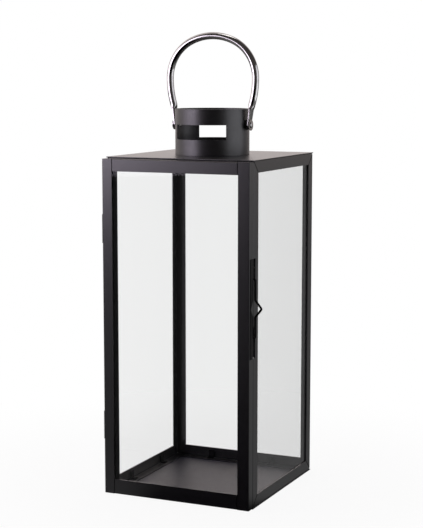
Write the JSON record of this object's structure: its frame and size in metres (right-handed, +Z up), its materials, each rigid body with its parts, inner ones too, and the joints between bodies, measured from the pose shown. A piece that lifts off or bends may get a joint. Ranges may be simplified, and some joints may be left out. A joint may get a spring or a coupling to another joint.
{
  "type": "candle lantern",
  "caption": "Tall square candle lantern with a glazed black metal frame, a hinged glass door, a slotted vent collar and a polished bail handle.",
  "frame": {"origin": "centre of the base plate's underside", "axes": "+Z up, -Y towards the door at the front, +X towards the latch side"},
  "size_m": [0.2132, 0.2123, 0.5829],
  "materials": {
    "black_coat": "satin",
    "black_hardware": "matte",
    "clear_glass": "clear",
    "polished_steel": "polished",
    "dark_washer": "matte"
  },
  "bodies": {
    "lantern_body": {"front_left_post": "black_coat", "front_right_post": "black_coat", "rear_left_post": "black_coat", "rear_right_post": "black_coat", "front_bottom_rail": "black_coat", "rear_bottom_rail": "black_coat", "left_bottom_rail": "black_coat", "right_bottom_rail": "black_coat", "front_top_rail": "black_coat", "rear_top_rail": "black_coat", "left_top_rail": "black_coat", "right_top_rail": "black_coat", "base_plate": "black_coat", "roof_plate": "black_coat", "left_glass": "clear_glass", "right_glass": "clear_glass", "rear_glass": "clear_glass", "left_glass_clips": "black_hardware", "right_glass_clips": "black_hardware", "rear_glass_clips": "black_hardware", "vent_collar": "black_coat", "collar_cap": "black_coat", "lower_hinge_body_leaf": "black_hardware", "lower_hinge_pin": "black_hardware", "upper_hinge_body_leaf": "black_hardware", "upper_hinge_pin": "black_hardware", "left_handle_rivet": "polished_steel", "left_handle_washer": "dark_washer", "right_handle_rivet": "polished_steel", "right_handle_washer": "dark_washer"},
    "door": {"door_left_stile": "black_coat", "door_right_stile": "black_coat", "door_top_rail": "black_coat", "door_bottom_rail": "black_coat", "door_glass": "clear_glass", "door_glass_clips": "black_hardware", "lower_hinge_door_leaf": "black_hardware", "upper_hinge_door_leaf": "black_hardware", "latch_keeper": "black_hardware"},
    "latch": {"latch_wire": "black_hardware"},
    "handle": {"bail_handle": "polished_steel"}
  },
  "joints": [
    {"name": "door_hinge", "type": "hinge", "parent": "lantern_body", "child": "door", "pos_m": [-0.1017, -0.0999, 0.2142], "axis": [0, 0, -1], "range_deg": [0, 165]},
    {"name": "latch_slide", "type": "slide", "parent": "lantern_body", "child": "latch", "axis": [0, 0, 1], "range_m": [0, 0.012]},
    {"name": "handle_swing", "type": "hinge", "parent": "lantern_body", "child": "handle", "pos_m": [0, 0, 0.4664], "axis": [1, 0, 0], "range_deg": [-100, 100]}
  ]
}
